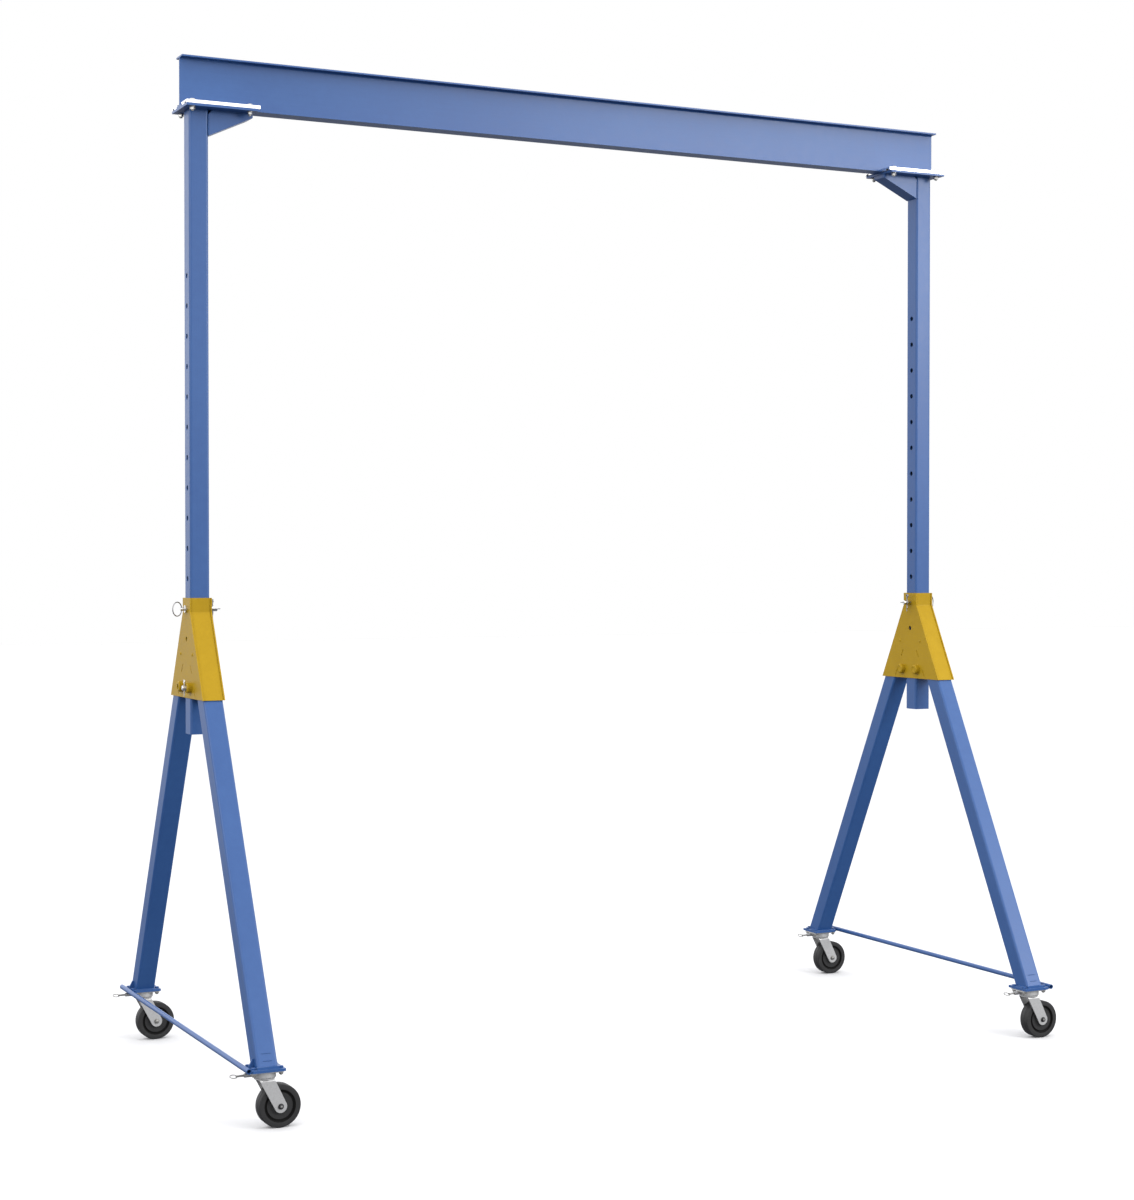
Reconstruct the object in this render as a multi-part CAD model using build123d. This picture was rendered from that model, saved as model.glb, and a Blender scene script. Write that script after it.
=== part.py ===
"""Portable gantry crane, adjustable in height, rolling on four locking swivel casters.

Millimetres. +Z is up, X runs along the beam and Y across it. The origin is on the floor,
midway between the two A-frames. Each A-frame has an outer side, away from the other one.
"""
from build123d import *
from math import cos, radians, tan
import os

# ---- crane ----
post_spacing = 4400.0
foot_spacing = 2112.0
under_beam_height = 4905.5
steel_plate = 6.35
thick_plate = 12.7

# ---- beam ----
beam_overhang = 86.0
beam_height = 254.0
beam_width = 101.6
beam_flange = 8.0
beam_web = 6.35
beam_root_radius = 8.0

# ---- telescoping posts ----
post_wall = 6.35
post_corner = 12.7
post_play = 0.6
post_below_head = 183.2
post_blank_top = 700.0
hole_pitch = 152.4
hole_play = 0.8
holes_below_pin = 2

# ---- legs ----
leg_size = 101.6
leg_wall = 6.35
leg_corner = 12.7
leg_lean = 27.0

# ---- head that joins two legs and guides the post ----
head_bottom = 1939.0
head_top = 2443.0
head_lip = 5.6
guide_play = 1.2
cover_bend = 12.0
socket_gap = 4.0
slot_share = 0.235
slot_depth = 4.0
slot_places = (0.166, 0.786)
screw_below_top = 284.0
screw_radius = 5.0
screw_head_radius = 8.5
screw_head = 3.0

# ---- height pins ----
pin_below_top = 56.0
pin_radius = 12.7
pin_fit = 0.09
pin_shoulder = 6.3
pin_head = 9.0
pin_neck_radius = 9.0
pin_neck = 22.0
pin_tail = 46.0
pin_tip_chamfer = 3.0
pull_ring_radius = 35.0
pull_ring_wire = 2.6
pull_ring_turn = 35.0
safety_ring_ratio = 2.126
safety_ring_wire = 2.2
safety_ring_offset = 6.5
ring_hole_play = 0.3
ring_margin = 7.0
clip_wire = 2.5
clip_fit = 0.1
clip_offset = 22.0
clip_length = 92.0
clip_above_pin = 0.42
clip_open_end = 0.2
clip_gap = 1.3
clip_bow = 2.0

# ---- storage bosses and spare pins ----
boss_above_bottom = 54.0
boss_pin_gap = 10.1
boss_wall = 14.3
boss_length = 25.0
boss_chamfer = 5.0
boss_play = 0.2
boss_head_play = 0.4
spare_head = 8.0
spare_tail = 20.0
spare_clip_offset = 8.0
spare_clip_length = 73.6

# ---- top plates, clamps and braces ----
top_plate_reach = 284.0
top_plate_width = 262.0
clamp_reach = 296.0
clamp_lip = 16.0
clamp_cover = 8.0
clamp_relief = 24.0
clamp_edge_play = 1.0
clamp_bolt_y = 102.0
clamp_bolt_inset = 38.0
clamp_bolt_shift = 9.0
clamp_bolt_radius = 7.9
clamp_bolt_play = 0.4
clamp_bolt_flats = 23.7
clamp_bolt_head = 10.0
clamp_bolt_end = 6.0
clamp_washer_radius = 15.8
clamp_washer = 3.0
clamp_nut = 13.0
brace_reach = 281.0
brace_nose = 20.0
brace_drop = 128.0
brace_clip = 18.0
brace_plate = 6.0

# ---- feet ----
foot_edge = 13.3
foot_toe = 18.0
foot_tie_lap = 6.0
foot_corner = 16.0
foot_taper = 30.0
gusset_height = 42.0
gusset_width = 27.0
gusset_nose = 8.0
toe_bar = 8.0
toe_bar_height = 12.0
toe_bar_side = 3.2
tie_radius = 12.7
tie_wall = 3.0
tie_gap = 6.5
tie_overhang = 72.0

# ---- casters ----
wheel_radius = 101.6
wheel_width = 63.5
wheel_shoulder = 8.0
wheel_hub_radius = 30.5
wheel_web_recess = 5.0
wheel_groove_inner = 63.0
wheel_groove_outer = 75.2
wheel_groove_depth = 12.0
wheel_groove_draft = 1.5
wheel_side_gap = 1.6
wheel_top_gap = 24.8
caster_lead = 66.0
caster_plate = 8.0
caster_plate_edge = 12.7
caster_plate_y = 114.3
caster_plate_corner = 8.0
caster_bolt_from_leg = 15.9
caster_bolt_y = 85.7
caster_bolt_radius = 6.2
caster_bolt_play = 0.3
caster_bolt_flats = 19.0
caster_bolt_head = 8.0
caster_bolt_end = 14.0
caster_nut = 10.5
housing_radius = 54.0
housing_wall = 12.0
housing_drop = 34.5
housing_edge = 4.0
swivel_gap = 2.5
hub_gap = 0.5
ball_gap = 0.3
ball_radius = 3.5
ball_circle = 30.0
ball_count = 16
kingpin_radius = 8.0
kingpin_fit = 0.05
kingpin_nut_flats = 24.0
kingpin_nut = 10.0
kingpin_nut_gap = 0.3
kingpin_end = 12.0
fork_plate = 8.0
fork_top_length = 72.0
fork_tip_radius = 30.0
fork_bend = 14.0
fork_corner = 4.0
race_inset = 5.0
race_gap = 0.8
axle_radius = 6.35
axle_play = 0.1
axle_flats = 19.0
axle_head = 8.0
axle_nut_height = 11.0
axle_end = 18.0
axle_washer = 2.0
axle_washer_radius = 14.0
sleeve_radius = 12.7
sleeve_fit = 0.05

# ---- swivel locks ----
lock_drop = 19.0
lock_radius = 5.0
lock_fit = 0.05
lock_travel = 10.0
lock_tip_gap = 2.5
lock_tube_radius = 10.0
lock_tube_length = 48.0
lock_tube_inset = 4.0
lock_notch_play = 0.2
lock_notch_end = 1.0
lock_ring_radius = 16.5
lock_ring_wire = 2.2
lock_ring_tilt = 15.0
lock_ring_hole = 3.2
lock_end_margin = 5.0

# ---- places that follow from the sizes above ----
post_x = post_spacing / 2
foot_y = foot_spacing / 2
beam_end = post_x + beam_overhang
lean = radians(leg_lean)
half_leg = leg_size / 2
half_post = half_leg - post_play
leg_slice = half_leg / cos(lean)
side_plate_outer = half_leg + steel_plate
cover_inner = half_post + guide_play
fork_under = 2 * wheel_radius + wheel_top_gap
fork_top = fork_under + fork_plate
housing_bottom = fork_top + swivel_gap
caster_height = housing_bottom + housing_drop
caster_bolt_x = leg_size + 2 * caster_bolt_from_leg
foot_top = caster_height + thick_plate
foot_inner = caster_bolt_x / 2 + foot_edge
half_foot = leg_slice + foot_toe
tie_offset = half_leg + gusset_width + tie_gap + tie_radius
foot_outer = tie_offset - foot_tie_lap
top_plate_bottom = under_beam_height - thick_plate
top_plate_inner = post_x - top_plate_reach
clamp_inner = post_x - clamp_reach
brace_inner = post_x - brace_reach
post_bottom = head_bottom - post_below_head
pin_height = head_top - pin_below_top
pin_head_radius = pin_radius + pin_shoulder
safety_ring_radius = pin_radius * safety_ring_ratio
hole_radius = pin_radius + hole_play
holes_above_pin = int((top_plate_bottom - post_blank_top - pin_height) / hole_pitch)
clip_leg_gap = pin_radius + clip_wire + clip_gap
boss_height = head_bottom + boss_above_bottom
boss_offset = half_post + boss_pin_gap + pin_radius
boss_radius = pin_radius + boss_wall
fork_inner = wheel_width / 2 + wheel_side_gap
fork_outer = fork_inner + fork_plate
hub_radius = housing_radius - housing_wall - hub_gap
hub_top = caster_height - caster_plate - 2 * ball_radius - ball_gap
race_radius = housing_radius - race_inset
lock_height = caster_height - lock_drop
lock_reach = caster_lead + wheel_radius

os.makedirs("parts", exist_ok=True)
nodes = []


def save(name, shapes):
    """Write one node, as one solid or as a group of separate solids."""
    node = Compound(children=list(shapes)) if isinstance(shapes, (list, tuple)) else shapes
    export_step(node, f"parts/{name}.step")
    nodes.append(name)


def block(x0, x1, y0, y1, z0, z1):
    """A box between two corners."""
    return Pos((x0 + x1) / 2, (y0 + y1) / 2, (z0 + z1) / 2) * Box(x1 - x0, y1 - y0, z1 - z0)


def rod(radius, start, end, axis):
    """A round bar along a main axis, through the given start point."""
    turn = {"x": Rot(0, 90, 0), "y": Rot(-90, 0, 0), "z": Rot(0, 0, 0)}[axis]
    length = end - start["xyz".index(axis)]
    return Pos(*start) * turn * extrude(Circle(radius), amount=length)


def hexagon(across_flats, start, end, axis):
    """A hexagonal bar for bolt heads and nuts."""
    turn = {"x": Rot(0, 90, 0), "y": Rot(-90, 0, 0), "z": Rot(0, 0, 0)}[axis]
    length = end - start["xyz".index(axis)]
    outline = RegularPolygon(across_flats / 2, 6, major_radius=False)
    return Pos(*start) * turn * extrude(outline, amount=length)


def plate_across_x(points, x0, x1):
    """A plate whose outline lies in the YZ plane, between two x values."""
    outline = make_face(Polyline(*points, close=True))
    return Pos(x0, 0, 0) * extrude(Plane.YZ * outline, amount=x1 - x0)


def plate_across_y(points, y0, y1):
    """A plate whose outline lies in the XZ plane, between two y values."""
    outline = make_face(Polyline(*points, close=True))
    return Pos(0, y1, 0) * extrude(Plane.XZ * outline, amount=y1 - y0)


def tube_section(size, wall, corner):
    """Square tube section, with rounded corners inside and out."""
    inner = size - 2 * wall
    return RectangleRounded(size, size, corner) - RectangleRounded(inner, inner, corner - wall)


def on_side(side, shape):
    """Place a shape made at the right A-frame. The left one is turned half a turn."""
    return shape if side == "right" else Rot(0, 0, 180) * shape


def arc_sag(radius, half_chord):
    """How far an arc falls away from its tangent over half a chord."""
    return radius - (radius ** 2 - half_chord ** 2) ** 0.5


def leg_centre(z):
    """Distance of the leg's centre line from the post's, at a height."""
    return foot_y - tan(lean) * (z - foot_top)


def leg_height(y):
    """Height at which the leg's centre line is at a distance from the post's."""
    return foot_top + (foot_y - y) / tan(lean)


# ==== beam: rolled steel section ====
beam_section = Rectangle(beam_width, beam_height)
web_side = (beam_width - beam_web) / 2
for hand in (-1, 1):
    pocket = Rectangle(web_side, beam_height - 2 * beam_flange)
    pocket = fillet(pocket.vertices().group_by(Axis.X)[-1], beam_root_radius)
    pocket = Pos(-(beam_web + web_side) / 2, 0) * pocket
    beam_section -= pocket if hand < 0 else Rot(0, 0, 180) * pocket
beam_start = Pos(-beam_end, 0, under_beam_height + beam_height / 2)
beam = beam_start * extrude(Plane.YZ * beam_section, amount=2 * beam_end)
save("beam", beam)

# ==== posts: square tube with a row of pin holes on the two faces that the pins cross ====
post_section = tube_section(2 * half_post, post_wall, post_corner)
post = Pos(post_x, 0, post_bottom) * extrude(post_section, amount=top_plate_bottom - post_bottom)
for step in range(-holes_below_pin, holes_above_pin + 1):
    height = pin_height + step * hole_pitch
    post -= rod(hole_radius, (post_x - half_leg, 0, height), post_x + half_leg, "x")

# ==== top plate: carries the beam on the post ====
clamp_bolt_xs = (clamp_inner + clamp_bolt_inset + clamp_bolt_shift, beam_end - clamp_bolt_inset)
half_top = top_plate_width / 2
top_plate = block(top_plate_inner, beam_end, -half_top, half_top, top_plate_bottom, under_beam_height)
for bolt_x in clamp_bolt_xs:
    for hand in (-1, 1):
        start = (bolt_x, hand * clamp_bolt_y, top_plate_bottom)
        top_plate -= rod(clamp_bolt_radius + clamp_bolt_play, start, under_beam_height, "z")

# ==== clamp bars: hold the beam's lower flange down on the top plate ====
flange_top = under_beam_height + beam_flange
clamp_top = flange_top + clamp_cover
flange_edge = beam_width / 2 + clamp_edge_play
relief_low = clamp_bolt_y - clamp_relief / 2
relief_high = clamp_bolt_y + clamp_relief / 2
clamp_outline = [
    (flange_edge - clamp_lip, flange_top),
    (flange_edge, flange_top),
    (flange_edge, under_beam_height),
    (relief_low, under_beam_height),
    (relief_low, flange_top),
    (relief_high, flange_top),
    (relief_high, under_beam_height),
    (half_top, under_beam_height),
    (half_top, clamp_top),
    (flange_edge - clamp_lip, clamp_top),
]
clamp_bar = plate_across_x(clamp_outline, clamp_inner, beam_end)
for bolt_x in clamp_bolt_xs:
    start = (bolt_x, clamp_bolt_y, under_beam_height)
    clamp_bar -= rod(clamp_bolt_radius + clamp_bolt_play, start, clamp_top, "z")
clamp_bars = [clamp_bar, mirror(clamp_bar, about=Plane.XZ)]

# ==== clamp bolts: bolt, washer and nut, four to a post ====
nut_top = top_plate_bottom - clamp_washer
nut_bottom = nut_top - clamp_nut
clamp_bolts = []
for bolt_x in clamp_bolt_xs:
    for hand in (-1, 1):
        y = hand * clamp_bolt_y
        bolt = rod(clamp_bolt_radius, (bolt_x, y, nut_bottom - clamp_bolt_end), clamp_top, "z")
        bolt += hexagon(clamp_bolt_flats, (bolt_x, y, clamp_top), clamp_top + clamp_bolt_head, "z")
        washer = rod(clamp_washer_radius, (bolt_x, y, nut_top), top_plate_bottom, "z")
        washer -= rod(clamp_bolt_radius, (bolt_x, y, nut_top), top_plate_bottom, "z")
        nut = hexagon(clamp_bolt_flats, (bolt_x, y, nut_bottom), nut_top, "z")
        nut -= rod(clamp_bolt_radius, (bolt_x, y, nut_bottom), nut_top, "z")
        clamp_bolts += [bolt, washer, nut]

# ==== knee brace: folded channel, open upwards, between the post and the top plate ====
post_inner_face = post_x - half_post
brace_low = top_plate_bottom - brace_drop
brace_outline = [
    (brace_inner, top_plate_bottom),
    (brace_inner, top_plate_bottom - brace_nose),
    (post_inner_face, brace_low),
    (post_inner_face, top_plate_bottom - brace_clip),
    (post_inner_face - brace_clip, top_plate_bottom),
]
brace_slope = (brace_drop - brace_nose) / (post_inner_face - brace_inner)
rise = brace_plate * (1 + brace_slope ** 2) ** 0.5
brace_hollow = [
    (brace_inner + brace_plate, top_plate_bottom),
    (brace_inner + brace_plate, top_plate_bottom - brace_nose + rise - brace_slope * brace_plate),
    (post_inner_face, brace_low + rise),
    (post_inner_face, top_plate_bottom),
]
brace = plate_across_y(brace_outline, -half_post, half_post)
brace -= plate_across_y(brace_hollow, -half_post + brace_plate, half_post - brace_plate)

# ==== head side plates: cut plates with the post and both legs between them ====
cover_slope_bottom = leg_centre(head_bottom) + leg_slice
edge_offset = steel_plate + head_lip
edge_bottom = cover_slope_bottom + edge_offset / cos(lean)
edge_collar = cover_inner + edge_offset
edge_bend = leg_height(edge_collar - leg_slice - edge_offset / cos(lean))
side_outline = [
    (edge_bottom, head_bottom),
    (edge_collar, edge_bend),
    (edge_collar, head_top),
    (-edge_collar, head_top),
    (-edge_collar, edge_bend),
    (-edge_bottom, head_bottom),
]
socket_face = leg_slice + steel_plate / cos(lean)
socket_top = leg_height(half_post + socket_gap + socket_face)
slot_length = slot_share * (socket_top - head_bottom)
slot_heights = [head_bottom + place * (socket_top - head_bottom) for place in slot_places]
screw_z = head_top - screw_below_top
socket_slots = []
for middle in slot_heights:
    for hand in (-1, 1):
        slot_y = hand * (leg_centre(middle) - (leg_slice + socket_face) / 2)
        slot = Pos(post_x, slot_y, middle) * Rot(hand * leg_lean, 0, 0)
        socket_slots.append(slot * Box(2 * side_plate_outer, steel_plate, slot_length))
head_sides = []
for low, high in ((-side_plate_outer, -half_leg), (half_leg, side_plate_outer)):
    plate = plate_across_x(side_outline, post_x + low, post_x + high)
    plate -= rod(pin_radius + pin_fit, (post_x + low, 0, pin_height), post_x + high, "x")
    plate -= rod(pin_radius, (post_x + low, 0, pin_height - hole_pitch), post_x + high, "x")
    for hand in (-1, 1):
        plate -= rod(screw_radius, (post_x + low, hand * leg_centre(screw_z), screw_z), post_x + high, "x")
        start = (post_x + low, hand * boss_offset, boss_height)
        plate -= rod(pin_radius + boss_play, start, post_x + high, "x")
    for slot in socket_slots:
        plate -= slot
    head_sides.append(plate)

# ==== head covers: folded plates over the legs' outer faces, upright at the collar ====
cover_outline = [
    (cover_inner, head_top),
    (cover_inner, leg_height(cover_inner - leg_slice)),
    (cover_slope_bottom, head_bottom),
    (leg_centre(head_bottom) + socket_face, head_bottom),
    (cover_inner + steel_plate, leg_height(cover_inner + steel_plate - socket_face)),
    (cover_inner + steel_plate, head_top),
]
cover = plate_across_x(cover_outline, post_x - half_leg, post_x + half_leg)
folds = cover.edges().filter_by(Axis.X)
folds = [edge for edge in folds if head_bottom + 1 < edge.center().Z < head_top - 1]
inner_fold = min(folds, key=lambda edge: edge.center().Y)
cover = fillet([edge for edge in folds if edge is not inner_fold], cover_bend)
head_covers = [cover, mirror(cover, about=Plane.XZ)]

# ==== leg sockets: sloped plates under the legs' inner faces, tabbed into the side plates ====
socket_outline = [
    (leg_centre(head_bottom) - leg_slice, head_bottom),
    (leg_centre(socket_top) - leg_slice, socket_top),
    (leg_centre(socket_top) - socket_face, socket_top),
    (leg_centre(head_bottom) - socket_face, head_bottom),
]
socket = plate_across_x(socket_outline, post_x - half_leg, post_x + half_leg)
tab_reach = half_leg + slot_depth
for middle in slot_heights:
    tab_place = Pos(post_x, leg_centre(middle) - (leg_slice + socket_face) / 2, middle) * Rot(leg_lean, 0, 0)
    socket += tab_place * Box(2 * tab_reach, steel_plate, slot_length)
sockets = [socket, mirror(socket, about=Plane.XZ)]

# ==== legs: square tube, cut level on the foot and square inside the head ====
leg_inner_end = leg_height(half_post + socket_gap + leg_slice)
leg_run = (leg_inner_end - foot_top) / cos(lean)
leg_bar = extrude(tube_section(leg_size, leg_wall, leg_corner), amount=leg_run + 2 * half_leg, both=False)
leg_bar = Pos(post_x, foot_y, foot_top) * Rot(leg_lean, 0, 0) * Pos(0, 0, -2 * half_leg) * leg_bar
leg_bar -= block(post_x - leg_size, post_x + leg_size, 0, 2 * foot_y, -leg_size, foot_top)
leg_bar -= block(post_x - leg_size, post_x + leg_size, -leg_size, half_post + socket_gap, foot_top, head_top)
screw_bore = rod(screw_radius, (post_x - half_leg, leg_centre(screw_z), screw_z), post_x + half_leg, "x")
leg = leg_bar - screw_bore

# ==== leg screws: hold each leg in the head ====
leg_screws = []
for side in ("left", "right"):
    for hand in (-1, 1):
        for face in (-1, 1):
            inner = post_x + face * (half_leg - leg_wall)
            outer = post_x + face * side_plate_outer
            top = outer + face * screw_head
            screw_y = hand * leg_centre(screw_z)
            screw = rod(screw_radius, (min(inner, outer), screw_y, screw_z), max(inner, outer), "x")
            screw += rod(screw_head_radius, (min(outer, top), screw_y, screw_z), max(outer, top), "x")
            leg_screws.append(on_side(side, screw))

# ==== storage bosses: turned tubes on both faces of the head, wider bored inside for the pin's head ====
bosses = []
for hand in (-1, 1):
    for face in (-1, 1):
        base = post_x + face * side_plate_outer
        tip = base + face * boss_length
        centre = (min(base, tip), hand * boss_offset, boss_height)
        boss = rod(boss_radius, centre, max(base, tip), "x")
        rim = boss.edges().filter_by(GeomType.CIRCLE).sort_by(Axis.X)[-1 if face > 0 else 0]
        boss = chamfer(rim, boss_chamfer)
        bore = pin_radius + boss_play if face > 0 else pin_head_radius + boss_head_play
        bosses.append(boss - rod(bore, centre, max(base, tip), "x"))

# ==== hairpin clip: one leg through the pin, the other outside it ====


def hairpin(x, y, z, reach, gap):
    """Wire clip in the YZ plane. Its straight leg is on the pin's axis."""
    top = z + reach * clip_above_pin
    bottom = top - reach
    loop = gap / 2
    open_end = bottom + reach * clip_open_end
    path = Line((x, y, bottom), (x, y, top))
    path += ThreePointArc((x, y, top), (x, y - loop, top + loop), (x, y - gap, top))
    path += ThreePointArc((x, y - gap, top), (x, y - gap - clip_bow, z), (x, y - gap, open_end))
    section = Pos(x, y, bottom) * Circle(clip_wire)
    return sweep(section, path=Wire(path.edges()))


# ==== height pins: through the head and the post, ring outside, clip and safety ring inside ====
washer_face = post_x + side_plate_outer
inner_face = post_x - side_plate_outer
pin_end = inner_face - pin_tail
neck_end = washer_face + pin_head + pin_neck
height_pin = rod(pin_radius, (pin_end, 0, pin_height), washer_face, "x")
tail_rim = height_pin.edges().filter_by(GeomType.CIRCLE).sort_by(Axis.X)[0]
height_pin = chamfer(tail_rim, pin_tip_chamfer)
height_pin += rod(pin_head_radius, (washer_face, 0, pin_height), washer_face + pin_head, "x")
height_pin += rod(pin_neck_radius, (washer_face + pin_head, 0, pin_height), neck_end, "x")
pull_sag = arc_sag(pull_ring_radius, pin_neck_radius)
ring_x = neck_end - ring_margin
ring_turn = Pos(ring_x, 0, pin_height) * Rot(0, 0, pull_ring_turn)
ring_bore_radius = pull_ring_wire + pull_sag / 2 + ring_hole_play
height_pin -= ring_turn * rod(ring_bore_radius, (pull_sag / 2, 0, -pin_head_radius), pin_head_radius, "z")
clip_x = inner_face - clip_offset
bore_place = (clip_x, 0, pin_height - pin_head_radius)
height_pin -= rod(clip_wire + clip_fit, bore_place, pin_height + pin_head_radius, "z")
safety_x = inner_face - safety_ring_offset
safety_sag = arc_sag(safety_ring_radius, pin_radius)
safety_centre = safety_x - safety_ring_radius
bore_place = (safety_x - safety_sag / 2, -pin_head_radius, pin_height)
height_pin -= rod(safety_ring_wire + safety_sag / 2 + ring_hole_play, bore_place, pin_head_radius, "y")
pull_ring_place = ring_turn * Pos(pull_ring_radius, 0, 0) * Rot(90, 0, 0)
pull_ring = pull_ring_place * Torus(pull_ring_radius, pull_ring_wire)
safety_ring = Pos(safety_centre, 0, pin_height) * Torus(safety_ring_radius, safety_ring_wire)
pin_clip = hairpin(clip_x, 0, pin_height, clip_length, clip_leg_gap)

# ==== spare pins: stored in the bosses, head sunk in the inner one, with a clip of their own outside ====
spare_end = washer_face + boss_length + spare_tail
spare_pin = rod(pin_radius, (inner_face, boss_offset, boss_height), spare_end, "x")
spare_pin += rod(pin_head_radius, (inner_face - spare_head, boss_offset, boss_height), inner_face, "x")
spare_clip_x = washer_face + boss_length + spare_clip_offset
bore_place = (spare_clip_x, boss_offset, boss_height - pin_head_radius)
spare_pin -= rod(clip_wire, bore_place, boss_height + pin_head_radius, "z")
spare_clip = hairpin(spare_clip_x, boss_offset, boss_height, spare_clip_length, clip_leg_gap)

# ==== foot plates: under each leg, with a toe bar and a gusset, and an edge hollowed to take the tie tube ====
foot_outline = [
    (-foot_inner, -half_foot),
    (foot_outer - foot_taper, -half_foot),
    (foot_outer, foot_taper - half_foot),
    (foot_outer, half_foot - foot_corner),
    (foot_outer - foot_corner, half_foot),
    (-foot_inner, half_foot),
]
foot_face = make_face(Polyline(*foot_outline, close=True))
foot = Pos(post_x, foot_y, caster_height) * extrude(foot_face, amount=thick_plate)
tie_end = foot_y + tie_overhang
tie_start = (post_x + tie_offset, -tie_end, caster_height + tie_radius)
foot -= rod(tie_radius, tie_start, 2 * tie_end, "y")
gusset_edge = post_x + half_leg
gusset_outline = [
    (gusset_edge, foot_top),
    (gusset_edge + gusset_width, foot_top),
    (gusset_edge + gusset_width, foot_top + gusset_nose),
    (gusset_edge + gusset_nose, foot_top + gusset_height),
    (gusset_edge, foot_top + gusset_height),
]
foot += plate_across_y(gusset_outline, foot_y - steel_plate / 2, foot_y + steel_plate / 2)
toe_face = leg_centre(foot_top + toe_bar_height) + leg_slice
toe_outline = [
    (foot_y + leg_slice, foot_top),
    (foot_y + leg_slice + toe_bar, foot_top),
    (foot_y + leg_slice + toe_bar, foot_top + toe_bar_height),
    (toe_face, foot_top + toe_bar_height),
]
toe_reach = half_leg + toe_bar_side
foot += plate_across_x(toe_outline, post_x - toe_reach, post_x + toe_reach)
for bolt_x in (-caster_bolt_x / 2, caster_bolt_x / 2):
    for bolt_y in (-caster_bolt_y / 2, caster_bolt_y / 2):
        start = (post_x + bolt_x, foot_y + bolt_y, caster_height)
        foot -= rod(caster_bolt_radius + caster_bolt_play, start, foot_top, "z")

# ==== tie tubes: join the two feet of an A-frame along its outer side, level with their undersides ====
tie_tube = rod(tie_radius, tie_start, tie_end, "y") - rod(tie_radius - tie_wall, tie_start, tie_end, "y")

# ==== both A-frames ====
for side in ("left", "right"):
    save(f"post_{side}", on_side(side, post))
    save(f"top_plate_{side}", on_side(side, top_plate))
    save(f"clamp_bars_{side}", [on_side(side, bar) for bar in clamp_bars])
    save(f"clamp_bolts_{side}", [on_side(side, piece) for piece in clamp_bolts])
    save(f"knee_brace_{side}", on_side(side, brace))
    save(f"head_sides_{side}", [on_side(side, plate) for plate in head_sides])
    save(f"head_covers_{side}", [on_side(side, plate) for plate in head_covers])
    save(f"leg_sockets_{side}", [on_side(side, plate) for plate in sockets])
    save(f"height_pin_{side}", on_side(side, height_pin))
    save(f"pin_rings_{side}", [on_side(side, ring) for ring in (pull_ring, safety_ring)])
    save(f"pin_clip_{side}", on_side(side, pin_clip))
    save(f"tie_tube_{side}", on_side(side, tie_tube))
    for end in ("front", "rear"):
        far = (end == "rear") == (side == "right")
        save(f"leg_{side}_{end}", on_side(side, leg if far else mirror(leg, about=Plane.XZ)))
        save(f"foot_{side}_{end}", on_side(side, foot if far else mirror(foot, about=Plane.XZ)))
save("leg_screws", leg_screws)
save("storage_bosses", [on_side(side, piece) for side in ("left", "right") for piece in bosses])
save("spare_pins", [on_side(side, piece) for side in ("left", "right") for piece in (spare_pin, spare_clip)])

# ==== caster, made about its own swivel axis; all four point the same way ====
plate_bottom = caster_height - caster_plate
plate_half_x = caster_bolt_x / 2 + caster_plate_edge
plate_half_y = caster_plate_y / 2
mount_plate = block(-plate_half_x, plate_half_x, -plate_half_y, plate_half_y, plate_bottom, caster_height)
mount_plate = fillet(mount_plate.edges().filter_by(Axis.Z), caster_plate_corner)
housing = rod(housing_radius, (0, 0, housing_bottom), plate_bottom, "z")
housing = fillet(housing.edges().sort_by(Axis.Z)[0], housing_edge)
housing -= rod(housing_radius - housing_wall, (0, 0, housing_bottom), plate_bottom, "z")
tube_inner = -housing_radius + lock_tube_inset
housing -= rod(lock_tube_radius, (-2 * housing_radius, 0, lock_height), tube_inner, "x")
housing -= rod(lock_radius + lock_fit, (-2 * housing_radius, 0, lock_height), 0, "x")
mount_plate += housing
mount_plate -= rod(kingpin_radius, (0, 0, plate_bottom), caster_height, "z")
for bolt_x in (-caster_bolt_x / 2, caster_bolt_x / 2):
    for bolt_y in (-caster_bolt_y / 2, caster_bolt_y / 2):
        start = (bolt_x, bolt_y, plate_bottom)
        mount_plate -= rod(caster_bolt_radius + caster_bolt_play, start, caster_height, "z")

# Kingpin: fixed in the mounting plate; the fork turns on it.
kingpin = rod(kingpin_radius, (0, 0, fork_under - kingpin_end), caster_height, "z")
kingpin_nut_top = fork_under - kingpin_nut_gap
kingpin += hexagon(kingpin_nut_flats, (0, 0, kingpin_nut_top - kingpin_nut), kingpin_nut_top, "z")

ball = Pos(ball_circle, 0, plate_bottom - ball_radius) * Sphere(ball_radius)
balls = [Rot(0, 0, turn * 360 / ball_count) * ball for turn in range(ball_count)]

# Fork: folded plate, its two legs raked back to the axle, with a turned hub on top.
fold = Rectangle(2 * fork_outer, 2 * fork_top)
fold = fillet(fold.vertices().group_by(Axis.Y)[-1], fork_bend)
fold_hollow = Rectangle(2 * fork_inner, 2 * fork_under)
fold_hollow = fillet(fold_hollow.vertices().group_by(Axis.Y)[-1], fork_bend - fork_plate)
folded = extrude(Plane.YZ * (fold - fold_hollow), amount=5 * fork_top_length)
folded = Pos(-2 * fork_top_length, 0, 0) * folded
crown_x = fork_top_length / 2 - fork_corner
rake = [Pos(caster_lead, wheel_radius) * Circle(fork_tip_radius)]
rake += [Pos(x, fork_top - fork_corner) * Circle(fork_corner) for x in (-crown_x, crown_x)]
rake_edges = [edge for circle in rake for edge in circle.edges()]
rake_face = make_hull(rake_edges)
raked = Pos(0, 2 * fork_outer, 0) * extrude(Plane.XZ * rake_face, amount=4 * fork_outer)
fork = folded & raked
fork += rod(race_radius, (0, 0, fork_top - fork_plate / 2), housing_bottom - race_gap, "z")
fork += rod(hub_radius, (0, 0, fork_top), hub_top, "z")
fork -= rod(kingpin_radius + kingpin_fit, (0, 0, fork_under - kingpin_nut_gap), hub_top, "z")
notch_half = lock_radius + lock_notch_play
notch_end = -hub_radius + lock_travel - lock_tip_gap + lock_notch_end
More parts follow.
